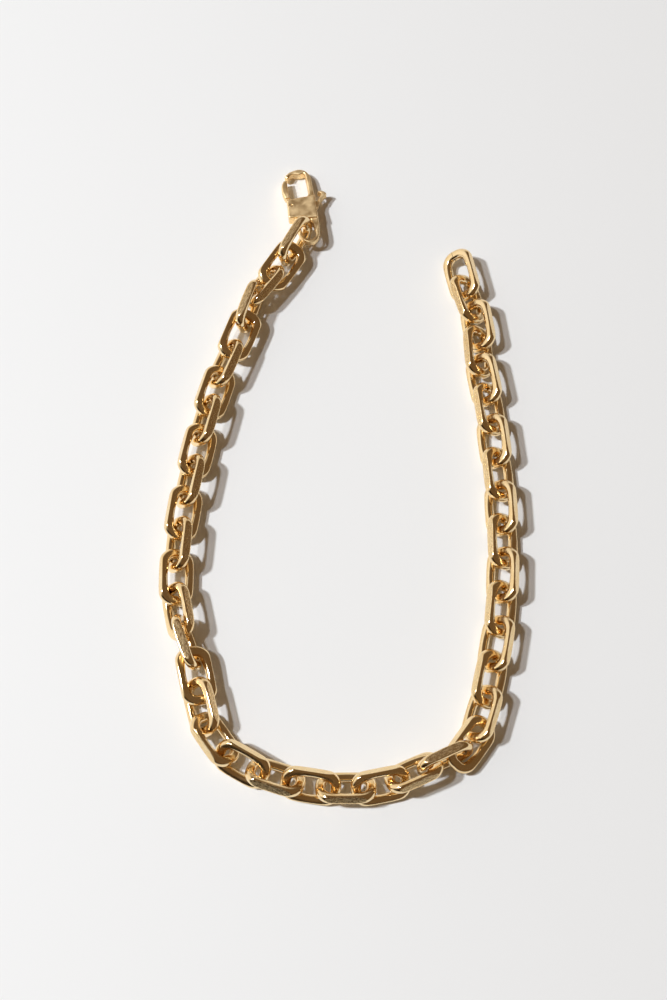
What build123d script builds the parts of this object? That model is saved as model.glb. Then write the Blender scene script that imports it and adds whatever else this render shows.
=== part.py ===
from build123d import *
from math import atan2, cos, radians, sin
import os

os.makedirs("parts", exist_ok=True)

# ---------------------------------------------------------------- links (mm)
LINK_LENGTH = 14.5        # outside length of one link
WIRE = 2.6                # wire diameter before planing
RAIL_OFFSET = 3.65        # link centre to the wire centre at the middle of each long side
SIDE_RADIUS = 18.0        # bend radius of the wire centre line along each long side
END_STRAIGHT = 0.5        # half the straight stretch at the middle of each end
PLANED_WIDTH = 8.4        # width left after the long sides are planed flat
PLANED_THICKNESS = 2.44   # thickness left after the broad faces are planed flat
BEVEL_REACH = 5.24        # 45 degree bevel, across plus up, beside each planed flat
REACH = (LINK_LENGTH - WIRE) / 2      # link centre to the wire centre of each end
RISE = RAIL_OFFSET - END_STRAIGHT
# Corner bend that runs smoothly into the end and into the long side.
CORNER = (2 * SIDE_RADIUS * RISE - REACH**2 - RISE**2) / (2 * (SIDE_RADIUS - REACH))
LINK_COUNT = 41           # the last one is the open end link
SEAM = 0.12               # width of the butt seam of the end link

# ------------------------------------------------- how the chain is laid out
# Route of the link centres: link number, x, y. The links between are spaced evenly.
ROUTE = [
    (1, -11.7, 70.4), (2, -15.2, 63.5), (3, -20.1, 57.6), (4, -23.3, 51.3),
    (5, -25.9, 43.4), (6, -29.4, 35.4), (8, -34.1, 19.8), (11, -38.9, -4.9),
    (13, -40.1, -21.5), (14, -39.3, -30.1), (15, -36.9, -38.0), (16, -34.5, -46.0),
    (17, -33.1, -53.5), (18, -29.6, -61.1), (19, -23.1, -66.9), (21, -7.0, -72.0),
    (23, 9.5, -72.0), (24, 17.2, -69.1), (25, 24.5, -65.9), (26, 30.7, -62.3),
    (27, 33.6, -55.1), (30, 39.0, -29.5), (33, 40.0, -3.5), (36, 38.0, 23.0),
    (38, 35.7, 39.0), (39, 35.8, 46.4), (40, 33.5, 54.0), (41, 31.9, 61.0),
]
# Lean of each link about its own length, left side up positive. Neighbours lean
# opposite ways; where the chain has a twist a link stands up or lies nearly flat.
LEFT_ARM_LEAN = (-28, 52)             # odd links, even links
LEAN = 38                             # both ways, everywhere else
LEAN_AT = {1: -77, 2: -14, 3: 47, 4: -76, 5: -14, 6: 50, 14: 46, 15: -75, 16: -15,
           17: 42, 18: -37, 24: -43, 25: 78, 26: 30, 27: -40}
TURN_AT = {1: -4, 3: -2, 4: 2, 15: 2, 17: -1, 26: 4, 27: -3}     # extra heading, degrees
DIP_AT = {2: -2, 5: -1, 14: 1, 16: -3, 24: 2, 26: -2}           # nose up positive, degrees
# Height gained by a link that its neighbours hold off the surface, on a scale where the
# wire is round: an upright link rests on its planed side and so comes lower.
LIFT_AT = {2: 1.8, 5: 2.1, 7: 0.4, 9: 0.4, 11: 0.5, 13: 0.5, 15: -0.2, 16: 1.7, 24: 0.5, 26: 0.4}
# Middle of the laid-out necklace, at the surface: it becomes the origin.
MIDDLE = Vector(-0.144, 8.423, 0.103)

# ---------------------------------------------------------------- clasp (mm)
# Clasp frame: origin at the eye centre, +Y towards the hook, +Z out of its flat face.
CLASP_AT = (-8.5, 75.1, 3.75)         # eye centre
CLASP_HEADING = 99                    # direction of clasp +Y about vertical
CLASP_TILT = 7.2                      # eye end rides on the first link, hook end is down
HOOK_THICKNESS = 2.5
CASE_THICKNESS = 3.2
EYE_THICKNESS = 1.8
SPINE_X = 3.2                         # straight back of the clasp
PIVOT = (-3.5, 6.5)
PIN_RADIUS = 0.5
SWING = 8.9                           # pivot to the end of the gate
SLOT = 1.35                           # slot through the case for the lever
LEVER_WEB = 1.15                      # lever thickness inside the slot
GATE_THICKNESS = 2.3
SPRING_X = 0.4                        # spring axis, parallel to clasp +Y
SPRING_FROM, SPRING_TO = 3.1, 5.42
SPRING_TURNS = 3.5
SPRING_RADIUS, SPRING_WIRE = 0.45, 0.1


def route_point(number):
    """Centre of a link by its number, on a smooth curve through ROUTE."""
    i = 0
    while i < len(ROUTE) - 2 and number > ROUTE[i + 1][0]:
        i += 1

    def slope(j, axis):
        a, b = ROUTE[max(j - 1, 0)], ROUTE[min(j + 1, len(ROUTE) - 1)]
        return (b[axis] - a[axis]) / (b[0] - a[0])

    p, q = ROUTE[i], ROUTE[i + 1]
    h = q[0] - p[0]
    t = (number - p[0]) / h
    return [
        (2 * t**3 - 3 * t**2 + 1) * p[axis] + (t**3 - 2 * t**2 + t) * h * slope(i, axis)
        + (3 * t**2 - 2 * t**3) * q[axis] + (t**3 - t**2) * h * slope(i + 1, axis)
        for axis in (1, 2)
    ]


def lean(number):
    if number in LEAN_AT:
        return LEAN_AT[number]
    if number < 18:
        return LEFT_ARM_LEAN[1] if number % 2 == 0 else LEFT_ARM_LEAN[0]
    if number < 26:
        return -LEAN if number % 2 == 0 else LEAN
    return LEAN if number % 2 == 0 else -LEAN


def link_plane(number):
    """Plane of a laid link: X along the link, Y across it, origin at its centre."""
    x, y = route_point(number)
    x0, y0 = route_point(max(number - 0.5, 1))
    x1, y1 = route_point(min(number + 0.5, LINK_COUNT))
    heading = atan2(y1 - y0, x1 - x0) + radians(TURN_AT.get(number, 0))
    dip, roll = radians(DIP_AT.get(number, 0)), radians(lean(number))
    along = Vector(cos(heading) * cos(dip), sin(heading) * cos(dip), sin(dip))
    left = Vector(-sin(heading), cos(heading), 0)
    normal = along.cross(left) * cos(roll) - left * sin(roll)
    across = normal.cross(along)
    # Height at which the round wire just touches the surface.
    lowest = min(x * along.Z + y * across.Z for x, y in centre_line_points())
    z = WIRE / 2 - lowest + LIFT_AT.get(number, 0)
    return Plane(origin=Vector(x, y, z) - MIDDLE, x_dir=along, z_dir=normal)


def corner_end():
    """Point where a corner bend of the centre line meets the long side, both positive."""
    side_y = RAIL_OFFSET - SIDE_RADIUS
    k = SIDE_RADIUS / (SIDE_RADIUS - CORNER)
    return (k * (REACH - CORNER), side_y + k * (END_STRAIGHT - side_y))


def side_height(x):
    return RAIL_OFFSET - SIDE_RADIUS + (SIDE_RADIUS**2 - x**2) ** 0.5


def centre_line_points():
    """Points round the whole centre line of a link."""
    steps = [radians(3 * i) for i in range(31)]
    ends = [(REACH - CORNER + CORNER * cos(a), END_STRAIGHT + CORNER * sin(a)) for a in steps]
    limit = corner_end()[0]
    ends = [p for p in ends if p[0] > limit]
    sides = [(limit * i / 12, side_height(limit * i / 12)) for i in range(13)]
    return [(x * i, y * j) for x, y in ends + sides for i in (1, -1) for j in (1, -1)]


def clasp_plane():
    heading, tilt = radians(CLASP_HEADING), radians(CLASP_TILT)
    right = Vector(sin(heading), -cos(heading), 0)
    up = Vector(cos(heading) * cos(tilt), sin(heading) * cos(tilt), -sin(tilt))
    return Plane(origin=Vector(CLASP_AT) - MIDDLE, x_dir=right, z_dir=right.cross(up))


# --------------------------------------------------------------------- links
def make_link(open_seam=False):
    """Wire bent to an oblong oval, then planed to an eight-sided envelope."""
    x, y = corner_end()
    bend = (REACH - CORNER + CORNER * cos(radians(40)), END_STRAIGHT + CORNER * sin(radians(40)))
    quarter = [
        Line((REACH, 0), (REACH, END_STRAIGHT)),
        ThreePointArc((REACH, END_STRAIGHT), bend, (x, y)),
        ThreePointArc((x, y), (x / 2, side_height(x / 2)), (0, RAIL_OFFSET)),
    ]
    half_line = quarter + [edge.mirror(Plane.YZ) for edge in quarter]
    centre_line = Wire(half_line + [edge.mirror(Plane.XZ) for edge in half_line])
    section = Plane(origin=(REACH, 0, 0), z_dir=(0, 1, 0)) * Circle(WIRE / 2)
    ring = sweep(section, path=centre_line)
    w, t = PLANED_WIDTH / 2, PLANED_THICKNESS / 2
    corners = [(w, BEVEL_REACH - w), (BEVEL_REACH - t, t)]
    corners += [(-y, z) for y, z in reversed(corners)]
    corners += [(-y, -z) for y, z in corners]
    envelope = Plane.YZ * make_face(Polyline(corners, close=True))
    link = ring & extrude(envelope, LINK_LENGTH, both=True)
    if open_seam:
        link -= Pos(REACH, 0.4, 0) * Box(2 * WIRE, SEAM, 2 * WIRE)
    return link


# --------------------------------------------------------------------- clasp
def slab(profile, thickness, rounding):
    """Plate of a given thickness about the clasp mid-plane with rounded rims."""
    plate = extrude(profile, thickness / 2, both=True)
    rims = plate.edges().filter_by(lambda e: abs(abs(e.center().Z) - thickness / 2) < 1e-4)
    return fillet(rims, rounding)


def swing_point(radius, x):
    """Point at abscissa x on the circle of the given radius about the pivot."""
    return (x, PIVOT[1] + (radius**2 - (x - PIVOT[0]) ** 2) ** 0.5)


def make_hook():
    tip_outer, tip_inner = (-3.85, 16.6), (-3.0, 15.75)
    root = 7.4
    with BuildSketch() as sketch:
        with BuildLine():
            Line((SPINE_X, root), (SPINE_X, 14.4))
            Spline((SPINE_X, 14.4), (2.95, 16.2), (1.95, 17.75), (0.3, 18.5), (-1.4, 18.25), tip_outer,
                   tangents=[(0, 1), (-0.7, -0.8)])
            Line(tip_outer, tip_inner)
            Spline(tip_inner, (-1.6, 17.1), (0.4, 16.8), (1.8, 13.2), tangents=[(0.6, 0.8), (0, -1)])
            Line((1.8, 13.2), (1.8, 10.6))
            ThreePointArc((1.8, 10.6), (1.35, 9.5), (0.3, 8.9))
            Line((0.3, 8.9), (0.3, root))
            Line((0.3, root), (SPINE_X, root))
        make_face()
    return slab(fillet(sketch.vertices(), 0.2), HOOK_THICKNESS, 0.4)


def make_case():
    outline = Polyline((-4.65, 2.8), (-1.4, 2.5), (1.2, 2.0), (SPINE_X, 1.9), (SPINE_X, 9.1),
                       (-0.6, 9.0), (-4.3, 8.6), close=True)
    profile = make_face(outline)
    profile = fillet(profile.vertices(), 0.5)
    return slab(profile, CASE_THICKNESS, 0.4)


def make_eye():
    with BuildSketch() as sketch:
        with BuildLine():
            Line((SPINE_X, 4.0), (SPINE_X, 1.9))
            Spline((SPINE_X, 1.9), (3.0, -1.2), (2.45, -3.9), (0.8, -5.4), (-1.3, -4.9), (-2.5, -2.8),
                   (-3.0, 0.5), (-3.0, 4.0), tangents=[(0, -1), (0, 1)])
            Line((-3.0, 4.0), (SPINE_X, 4.0))
        make_face()
    with BuildSketch() as window:
        with BuildLine():
            Line((-1.75, 1.95), (1.1, 1.95))
            Spline((1.1, 1.95), (1.5, 0.2), (1.85, -2.4), (1.45, -3.85), (0.2, -4.4), (-1.0, -3.7),
                   (-1.65, -2.0), (-1.9, 0.4), (-1.75, 1.95), tangents=[(0.1, -1), (0.1, 1)])
        make_face()
    return slab(sketch.sketch - fillet(window.vertices(), 0.3), EYE_THICKNESS, 0.35)


def make_clasp_body():
    body = make_hook() + make_case() + make_eye()
    # Slot for the lever: open at the left and top left, and through the spine.
    slot = Polyline(
        (-6.0, 5.05), (-2.6, 4.75), (SPRING_X - 0.7, 3.85), (SPRING_X - 0.7, SPRING_FROM - 0.05),
        (SPRING_X + 0.7, SPRING_FROM - 0.05), (SPRING_X + 0.7, 3.25), (5.0, 1.65),
        (5.0, 7.66), (-1.5, 7.66), (-1.5, 10.8), (-6.0, 10.8), close=True,
    )
    body -= extrude(make_face(slot), SLOT / 2, both=True)
    body -= Pos(PIVOT[0], PIVOT[1], 0) * Cylinder(PIN_RADIUS + 0.03, 2 * CASE_THICKNESS)
    return body


def make_lever():
    """Gate finger above the case, pivot hub and arm inside it, thumb tab outside."""
    end = [swing_point(SWING, x) for x in (-3.3, -3.8, -4.3)]
    gate_profile = make_face(
        [
            Spline((-3.35, 9.6), (-3.45, 12.2), (-3.4, 14.2), end[0], tangents=[(0, 1), (0.2, 1)]),
            ThreePointArc(*end),
            Spline(end[2], (-4.7, 14.6), (-5.1, 13.2), (-5.05, 11.5), (-4.6, 9.6),
                   tangents=[(-0.5, -0.8), (0.3, -1)]),
            Line((-4.6, 9.6), (-3.35, 9.6)),
        ]
    )
    gate = slab(fillet(gate_profile.vertices(), 0.2), GATE_THICKNESS, 0.4)
    web = Polyline(
        (-4.4, 10.2), (-4.35, 8.3), (-4.2, 5.8), (-3.2, 5.42), (SPINE_X, 5.46),
        (3.6, 5.75), (4.3, 7.1), (4.3, 7.62), (-1.9, 7.62), (-2.6, 8.2), (-3.45, 10.2), close=True,
    )
    tab = make_face(
        [
            Spline((3.45, 5.75), (4.3, 7.2), (5.3, 8.5), (6.5, 9.45)),
            Spline((6.5, 9.45), (5.95, 10.2), (4.95, 10.55), (4.1, 10.2)),
            Spline((4.1, 10.2), (4.8, 10.1), (5.2, 9.65), (4.9, 9.0), (4.2, 8.1), (3.6, 7.4)),
            Line((3.6, 7.4), (3.45, 5.75)),
        ]
    )
    lever = gate + extrude(make_face(web), LEVER_WEB / 2, both=True)
    lever += extrude(tab, LEVER_WEB / 2, both=True)
    pad = tab & (Pos(6.5, 9.5) * Rectangle(4.4, 6.0))
    lever += extrude(pad, LEVER_WEB * 0.85, both=True)
    lever -= Pos(PIVOT[0], PIVOT[1], 0) * Cylinder(PIN_RADIUS + 0.05, 2 * CASE_THICKNESS)
    return lever


def make_spring():
    """Small compression coil between the pocket floor and the lever arm."""
    height = SPRING_TO - SPRING_FROM - 2 * SPRING_WIRE
    coil = Helix(pitch=height / SPRING_TURNS, height=height, radius=SPRING_RADIUS)
    start = Plane(origin=coil @ 0, z_dir=coil % 0)
    wire = sweep(start * Circle(SPRING_WIRE), path=coil)
    return Pos(SPRING_X, SPRING_FROM + SPRING_WIRE, 0) * Rot(-90, 0, 0) * wire


def make_pin():
    pin = Cylinder(PIN_RADIUS, CASE_THICKNESS - 0.04)
    pin = chamfer(pin.edges(), 0.08)
    return Pos(PIVOT[0], PIVOT[1], 0) * pin


# -------------------------------------------------------------------- export
def build():
    nodes = {}
    at_clasp = clasp_plane().location
    nodes["clasp_body"] = at_clasp * make_clasp_body()
    nodes["clasp_lever"] = at_clasp * make_lever()
    nodes["clasp_spring"] = at_clasp * make_spring()
    nodes["clasp_pivot_pin"] = at_clasp * make_pin()
    link, end_link = make_link(), make_link(open_seam=True)
    for number in range(1, LINK_COUNT + 1):
        last = number == LINK_COUNT
        name = "end_link" if last else f"link_{number:02d}"
        nodes[name] = link_plane(number).location * (end_link if last else link)
    return nodes


if __name__ == "__main__":
    for name, shape in build().items():
        shape.label = name
        export_step(shape, f"parts/{name}.step")
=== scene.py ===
import math

import bpy
import numpy as np
from mathutils import Matrix, Vector


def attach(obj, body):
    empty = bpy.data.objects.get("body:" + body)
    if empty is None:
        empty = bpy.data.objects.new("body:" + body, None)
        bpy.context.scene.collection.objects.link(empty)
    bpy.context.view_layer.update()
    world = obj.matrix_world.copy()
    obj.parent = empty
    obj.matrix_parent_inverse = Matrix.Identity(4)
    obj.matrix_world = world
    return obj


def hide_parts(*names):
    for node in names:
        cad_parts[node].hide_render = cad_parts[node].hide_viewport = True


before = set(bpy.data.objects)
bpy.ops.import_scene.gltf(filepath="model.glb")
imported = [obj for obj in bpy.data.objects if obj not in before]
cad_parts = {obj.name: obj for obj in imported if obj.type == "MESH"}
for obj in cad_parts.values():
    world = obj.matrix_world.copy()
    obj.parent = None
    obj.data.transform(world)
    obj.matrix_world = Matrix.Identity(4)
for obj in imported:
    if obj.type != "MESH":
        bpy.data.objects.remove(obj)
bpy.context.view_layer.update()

MM = 0.001
LINKS = [f"link_{n:02d}" for n in range(1, 41)] + ["end_link"]

# Link wire, in millimetres: the same sizes as the CAD links.
REACH, RAIL, SIDE_RADIUS, END_STRAIGHT = 5.95, 3.65, 18.0, 0.5
RISE = RAIL - END_STRAIGHT
CORNER = (2 * SIDE_RADIUS * RISE - REACH**2 - RISE**2) / (2 * (SIDE_RADIUS - REACH))
WIRE_RADIUS = 1.3
PLANED_SIDE, PLANED_FACE, BEVEL = 4.2, 1.22, 5.24 * math.sqrt(0.5)
SATIN_SIDE, SATIN_FACE, SATIN_BEVEL = 1.0, 0.45, 0.05
# Degrees by which the sides of a link were planed out of square, where that shows.
OUT_OF_SQUARE = {"link_15": 16, "link_20": 8, "link_22": 8}
SEAM_AT, SEAM = 0.4, 0.12             # distance along the end, and width, of the butt seam
EDGE_SHARPNESS = 16                   # higher is crisper
AROUND_LINK, AROUND_WIRE = 264, 72    # mesh steps along the link and round its wire
WOBBLE = 0.03                         # how far the planed faces wander from link to link
RING_VARIANTS = 5
FIRST_SEED = 11


# ------------------------------------------------------------------ materials
def metal(name, deep, pale, polished, satin, grain_size, grain_depth, stretch):
    """Metal whose roughness, tint and fine grain vary; "satin" on the mesh marks planed faces."""
    m = bpy.data.materials.new(name)
    m.use_nodes = True
    nodes, link = m.node_tree.nodes, m.node_tree.links.new
    bsdf = nodes["Principled BSDF"]
    bsdf.inputs["Metallic"].default_value = 1.0
    where = nodes.new("ShaderNodeTexCoord")
    mapping = nodes.new("ShaderNodeMapping")
    mapping.inputs["Scale"].default_value = stretch
    link(where.outputs["Object"], mapping.inputs["Vector"])

    def noise(scale, detail):
        n = nodes.new("ShaderNodeTexNoise")
        n.inputs["Scale"].default_value = scale
        n.inputs["Detail"].default_value = detail
        link(mapping.outputs["Vector"], n.inputs["Vector"])
        return n.outputs["Fac"]

    def remap(value, low, high, from_low=0.3, from_high=0.7):
        n = nodes.new("ShaderNodeMapRange")
        for socket, number in zip(("From Min", "From Max", "To Min", "To Max"),
                                  (from_low, from_high, low, high)):
            n.inputs[socket].default_value = number
        link(value, n.inputs["Value"])
        return n.outputs["Result"]

    def blend(factor, a, b):
        n = nodes.new("ShaderNodeMix")
        link(factor, n.inputs["Factor"])
        link(a, n.inputs["A"])
        link(b, n.inputs["B"])
        return n.outputs["Result"]

    planed = nodes.new("ShaderNodeAttribute")
    planed.attribute_name = "satin"
    grain = noise(1 / (grain_size * MM), 3)
    cloud = noise(1 / (2.2 * MM), 2)
    tint = nodes.new("ShaderNodeMixRGB")
    tint.inputs["Color1"].default_value = (*deep, 1)
    tint.inputs["Color2"].default_value = (*pale, 1)
    link(remap(cloud, 0, 1), tint.inputs["Fac"])
    link(tint.outputs["Color"], bsdf.inputs["Base Color"])
    shiny = remap(cloud, polished * 0.75, polished * 1.3)
    dull = remap(grain, satin * 0.75, satin * 1.3)
    link(blend(planed.outputs["Fac"], shiny, dull), bsdf.inputs["Roughness"])
    bump = nodes.new("ShaderNodeBump")
    bump.inputs["Distance"].default_value = grain_depth * MM
    link(remap(planed.outputs["Fac"], 0.12, 1.0, 0, 1), bump.inputs["Strength"])
    link(grain, bump.inputs["Height"])
    link(bump.outputs["Normal"], bsdf.inputs["Normal"])
    return m


PALE_GOLD, DEEP_GOLD = (0.98, 0.77, 0.46), (0.94, 0.69, 0.36)
LINK_GOLD = metal("gold_planed_links", DEEP_GOLD, PALE_GOLD, 0.09, 0.26, 0.40, 0.045, (0.5, 1, 1))
CAST_GOLD = metal("gold_cast_clasp", DEEP_GOLD, PALE_GOLD, 0.48, 0.48, 0.5, 0.02, (1, 1, 1))
PIN_GOLD = metal("gold_turned_pin", DEEP_GOLD, PALE_GOLD, 0.42, 0.42, 0.15, 0.01, (1, 1, 1))
SPRING_STEEL = metal("drawn_spring_steel", (0.50, 0.49, 0.47), (0.62, 0.61, 0.59), 0.25, 0.25, 0.08,
                     0.005, (1, 1, 1))


# ---------------------------------------------------------------- link meshes
def mesh_arrays(name):
    """Vertices and triangles of a CAD node."""
    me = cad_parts[name].data
    co = np.zeros(len(me.vertices) * 3)
    me.vertices.foreach_get("co", co)
    me.calc_loop_triangles()
    tri = np.zeros(len(me.loop_triangles) * 3, int)
    me.loop_triangles.foreach_get("vertices", tri)
    return co.reshape(-1, 3), tri.reshape(-1, 3)


def solid_frame(name):
    """Centre and three axes of a CAD solid, longest first, from its volume integrals."""
    co, tri = mesh_arrays(name)
    a, b, c = co[tri[:, 0]], co[tri[:, 1]], co[tri[:, 2]]
    ref = co.mean(0)
    a, b, c = a - ref, b - ref, c - ref
    vol = np.einsum("ij,ij->i", a, np.cross(b, c)) / 6
    total = vol.sum()
    centre = (vol[:, None] * (a + b + c) / 4).sum(0) / total
    s = a + b + c
    second = (
        np.einsum("i,ij,ik->jk", vol, a, a) + np.einsum("i,ij,ik->jk", vol, b, b)
        + np.einsum("i,ij,ik->jk", vol, c, c) + np.einsum("i,ij,ik->jk", vol, s, s)
    ) / 20
    second = second / total - np.outer(centre, centre)
    values, vectors = np.linalg.eigh(second)
    order = np.argsort(values)[::-1]
    return ref + centre, [vectors[:, i] for i in order]


def link_matrices():
    """Where each link lies: X along it towards the end link, Z out of its broad face, upwards."""
    found = [solid_frame(n) for n in LINKS]
    matrices = {}
    for i, name in enumerate(LINKS):
        centre, (along, _, normal) = found[i]
        ahead = found[min(i + 1, len(found) - 1)][0] - found[max(i - 1, 0)][0]
        if along @ ahead < 0:
            along = -along
        if normal[2] < 0:
            normal = -normal
        across = np.cross(normal, along)
        m = Matrix.Identity(4)
        for row in range(3):
            for col, axis in enumerate((along, across, normal)):
                m[row][col] = axis[row]
            m[row][3] = centre[row]
        matrices[name] = m
    return matrices


def centre_line(count, seam=0):
    """Points and outward directions round the oval line, starting at the seam if there is one."""
    side_y = RAIL - SIDE_RADIUS
    corner_turn = math.atan2(END_STRAIGHT - side_y, REACH - CORNER)
    corner = CORNER * corner_turn
    quadrant = END_STRAIGHT + corner + SIDE_RADIUS * (math.pi / 2 - corner_turn)

    def first_quadrant(s):
        if s < END_STRAIGHT:
            return REACH, s, 0.0
        if s < END_STRAIGHT + corner:
            a = (s - END_STRAIGHT) / CORNER
            return REACH - CORNER + CORNER * math.cos(a), END_STRAIGHT + CORNER * math.sin(a), a
        a = corner_turn + (s - END_STRAIGHT - corner) / SIDE_RADIUS
        return SIDE_RADIUS * math.cos(a), side_y + SIDE_RADIUS * math.sin(a), a

    points, outward = [], []
    start = SEAM_AT + seam / 2 if seam else 0
    step = (4 * quadrant - seam) / (count - 1 if seam else count)
    for i in range(count):
        turn, s = divmod((start + i * step) % (4 * quadrant), quadrant)
        s = quadrant - s if turn % 2 else s
        sign_x, sign_y = ((1, 1), (-1, 1), (-1, -1), (1, -1))[int(turn) % 4]
        x, y, a = first_quadrant(s)
        points.append((sign_x * x, sign_y * y))
        outward.append((sign_x * math.cos(a), sign_y * math.sin(a)))
    return np.array(points), np.array(outward)


def planed_faces(out_of_square):
    """Direction (across, up), distance from the link's centre and satin of each planed face."""
    a = math.radians(out_of_square)
    half = math.sqrt(0.5)
    faces = []
    for s in (1, -1):
        faces.append((s * math.cos(a), -s * math.sin(a), PLANED_SIDE * math.cos(a), SATIN_SIDE))
        faces.append((0, s, PLANED_FACE, SATIN_FACE))
        faces += [(s * half, t * half, BEVEL, SATIN_BEVEL) for t in (1, -1)]
    return faces


def ring_mesh(name, seed, seam=0, out_of_square=0):
    """Round wire on the oval line, cut back by the planed faces with softly rounded edges."""
    rng = np.random.default_rng(seed)
    line, out = centre_line(AROUND_LINK, seam)
    v = np.arange(AROUND_WIRE) * 2 * math.pi / AROUND_WIRE
    cos_v, sin_v = np.cos(v), np.sin(v)
    dx = out[:, 0:1] * cos_v[None]
    dy = out[:, 1:2] * cos_v[None]
    dz = np.broadcast_to(sin_v[None], dx.shape)
    inverse = np.full(dx.shape, WIRE_RADIUS**-EDGE_SHARPNESS)
    nearest = np.full(dx.shape, WIRE_RADIUS)
    satin = np.zeros(dx.shape)
    for ny, nz, reach, finish in planed_faces(out_of_square):
        offset = reach + WOBBLE * rng.uniform(-1, 0.3)
        tilt = WOBBLE * 0.25 * rng.uniform(-1, 1)
        toward = ny * dy + nz * dz + tilt * dx
        room = offset - ny * line[:, 1:2] - tilt * line[:, 0:1]
        r = np.where(toward > 1e-3, room / np.maximum(toward, 1e-3), 1e3)
        inverse += np.maximum(r, 0.05) ** -EDGE_SHARPNESS
        satin = np.where(r < nearest, finish, satin)
        nearest = np.minimum(r, nearest)
    r = inverse ** (-1 / EDGE_SHARPNESS)
    co = np.stack([line[:, 0:1] + r * dx, line[:, 1:2] + r * dy, r * dz], -1).reshape(-1, 3) * MM
    w = AROUND_WIRE
    i = np.arange(AROUND_LINK - 1 if seam else AROUND_LINK)[:, None]
    j = np.arange(w)[None]
    i2, j2 = (i + 1) % AROUND_LINK, (j + 1) % w
    faces = np.stack([i * w + j, i2 * w + j, i2 * w + j2, i * w + j2], -1).reshape(-1, 4).tolist()
    satin = satin.reshape(-1)
    if seam:
        n = len(co)
        faces += [list(range(n, n + w)), list(range(n + 2 * w - 1, n + w - 1, -1))]
        co = np.concatenate([co, co[:w], co[-w:]])
        satin = np.concatenate([satin, np.zeros(2 * w)])
    me = bpy.data.meshes.new(name)
    me.from_pydata(co.tolist(), [], faces)
    me.attributes.new("satin", "FLOAT", "POINT").data.foreach_set("value", satin)
    me.shade_smooth()
    me.materials.append(LINK_GOLD)
    return me


matrices = link_matrices()
variants = [ring_mesh(f"link_ring_{k}", FIRST_SEED + k) for k in range(RING_VARIANTS)]
seed = FIRST_SEED + RING_VARIANTS
special = {"end_link": ring_mesh("end_link_ring", seed, seam=SEAM)}
for name, angle in OUT_OF_SQUARE.items():
    special[name] = ring_mesh(f"{name}_ring", seed + 1, out_of_square=angle)
for index, name in enumerate(LINKS):
    o = bpy.data.objects.new(f"{name}_metal", special.get(name, variants[index % RING_VARIANTS]))
    bpy.context.scene.collection.objects.link(o)
    o.matrix_world = matrices[name]
    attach(o, name)
    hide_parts(name)


# --------------------------------------------------------------------- clasp
REMESH_SCALE = 100.0                  # the remesher works in metres, so it is given a big copy


def soft_casting(node, voxel, passes):
    """Copy of a CAD solid with its edges worn soft, as a polished casting."""
    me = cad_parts[node].data.copy()
    me.transform(Matrix.Scale(REMESH_SCALE, 4))
    o = bpy.data.objects.new(node + "_casting", me)
    bpy.context.scene.collection.objects.link(o)
    remesh = o.modifiers.new("remesh", "REMESH")
    remesh.mode = "VOXEL"
    remesh.voxel_size = voxel * MM * REMESH_SCALE
    smooth = o.modifiers.new("smooth", "SMOOTH")
    smooth.factor = 0.5
    smooth.iterations = passes
    bpy.context.view_layer.update()
    done = bpy.data.meshes.new_from_object(o.evaluated_get(bpy.context.evaluated_depsgraph_get()))
    o.modifiers.clear()
    done.transform(Matrix.Scale(1 / REMESH_SCALE, 4))
    done.shade_smooth()
    o.data = done
    bpy.data.meshes.remove(me)
    done.materials.clear()
    return o


for node, body, voxel, passes in (("clasp_body", "clasp", 0.07, 6), ("clasp_lever", "lever", 0.06, 4)):
    o = soft_casting(node, voxel, passes)
    o.data.materials.append(CAST_GOLD)
    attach(o, body)
    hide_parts(node)
for node, material in (("clasp_pivot_pin", PIN_GOLD), ("clasp_spring", SPRING_STEEL)):
    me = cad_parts[node].data
    me.materials.clear()
    me.materials.append(material)

# --------------------------------------------------------------------- stage
PAGE_HALF = 3.0
PAGE_COLOUR, PAGE_ROUGHNESS = (0.85, 0.85, 0.845, 1), 0.7
LIGHT_COLOUR, LIGHT_DISTANCE, LIGHT_SIZE = (0.95, 1.0, 1.05), 2.0, 0.13
OVERHEAD = (0.14, 0.09, 0.05)
GLOW_TO_LEFT = 0.55                   # how far the brightness climbs on the left
FRONT_LOW, SIDE_LOW, BACK_LOW = (0.03, 0.020, 0.011), (0.98, 0.93, 0.87), (0.80, 0.74, 0.67)

floor = bpy.data.meshes.new("floor")
corners = [(x * PAGE_HALF, y * PAGE_HALF, 0) for x, y in ((-1, -1), (1, -1), (1, 1), (-1, 1))]
floor.from_pydata(corners, [], [(0, 1, 2, 3)])
floor_object = bpy.data.objects.new("floor", floor)
bpy.context.scene.collection.objects.link(floor_object)
paper = bpy.data.materials.new("paper")
paper.use_nodes = True
paper_shader = paper.node_tree.nodes["Principled BSDF"]
paper_shader.inputs["Base Color"].default_value = PAGE_COLOUR
paper_shader.inputs["Roughness"].default_value = PAGE_ROUGHNESS
floor.materials.append(paper)

# Surroundings: dim overhead, dark in front, bright low down at the back and sides.
world = bpy.data.worlds.new("world")
bpy.context.scene.world = world
world.use_nodes = True
wn, wl = world.node_tree.nodes, world.node_tree.links.new
sky = wn.new("ShaderNodeTexCoord")
axes = wn.new("ShaderNodeSeparateXYZ")
wl(sky.outputs["Generated"], axes.inputs["Vector"])


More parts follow.
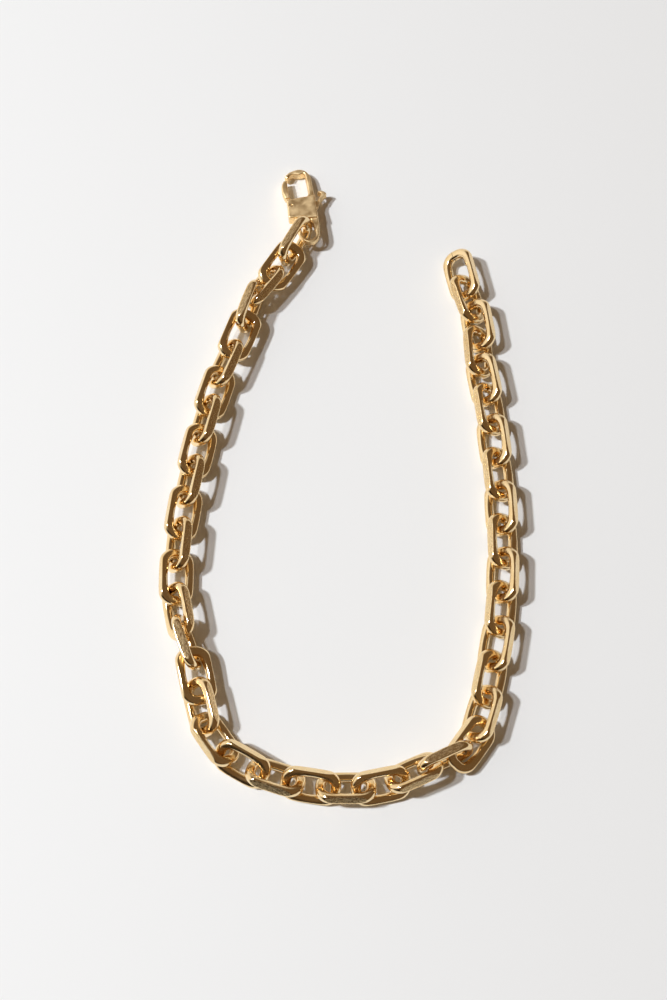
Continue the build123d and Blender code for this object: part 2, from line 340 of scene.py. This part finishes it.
def ramp(value, stops):
    """Colour by value: a list of (position, colour)."""
    n = wn.new("ShaderNodeValToRGB")
    n.color_ramp.interpolation = "EASE"
    for k, (position, colour) in enumerate(stops):
        element = n.color_ramp.elements[k] if k < 2 else n.color_ramp.elements.new(position)
        element.position = position
        element.color = (*colour, 1)
    wl(value, n.inputs["Fac"])
    return n.outputs["Color"]


half = wn.new("ShaderNodeMapRange")
half.inputs["From Min"].default_value = -1
wl(axes.outputs["Y"], half.inputs["Value"])
low_down = ramp(half.outputs["Result"], [(0.2, FRONT_LOW), (1.0, BACK_LOW), (0.5, SIDE_LOW)])
rise = wn.new("ShaderNodeMath")
rise.operation = "MULTIPLY_ADD"
rise.inputs[1].default_value = GLOW_TO_LEFT
wl(axes.outputs["X"], rise.inputs[0])
wl(axes.outputs["Z"], rise.inputs[2])
height = ramp(rise.outputs["Value"], [(0.12, (0, 0, 0)), (0.55, (1, 1, 1))])
mixed = wn.new("ShaderNodeMixRGB")
mixed.inputs["Color2"].default_value = (*OVERHEAD, 1)
wl(height, mixed.inputs["Fac"])
wl(low_down, mixed.inputs["Color1"])
wl(mixed.outputs["Color"], wn["Background"].inputs["Color"])
wn["Background"].inputs["Strength"].default_value = 1.0


def window_light(name, elevation, power):
    """Round lamp to the left of the necklace, aimed at it."""
    data = bpy.data.lights.new(name, "AREA")
    data.shape = "DISK"
    data.size = LIGHT_SIZE
    data.energy = power
    data.color = LIGHT_COLOUR
    o = bpy.data.objects.new(name, data)
    bpy.context.scene.collection.objects.link(o)
    e = math.radians(elevation)
    o.location = Vector((-math.cos(e), 0, math.sin(e))) * LIGHT_DISTANCE
    o.rotation_euler = (-o.location).to_track_quat("-Z", "Y").to_euler()


window_light("window", 51, 30)
window_light("upper_window", 62, 10)

camera_data = bpy.data.cameras.new("camera")
camera_data.lens = 54
camera_data.sensor_width = 36
camera_data.clip_start = 0.01
camera = bpy.data.objects.new("camera", camera_data)
bpy.context.scene.collection.objects.link(camera)
camera.location = (-0.001486, -0.131443, 0.356597)
camera.rotation_euler = (math.radians(19), 0, 0)
bpy.context.scene.camera = camera
bpy.context.scene.view_settings.view_transform = "Standard"
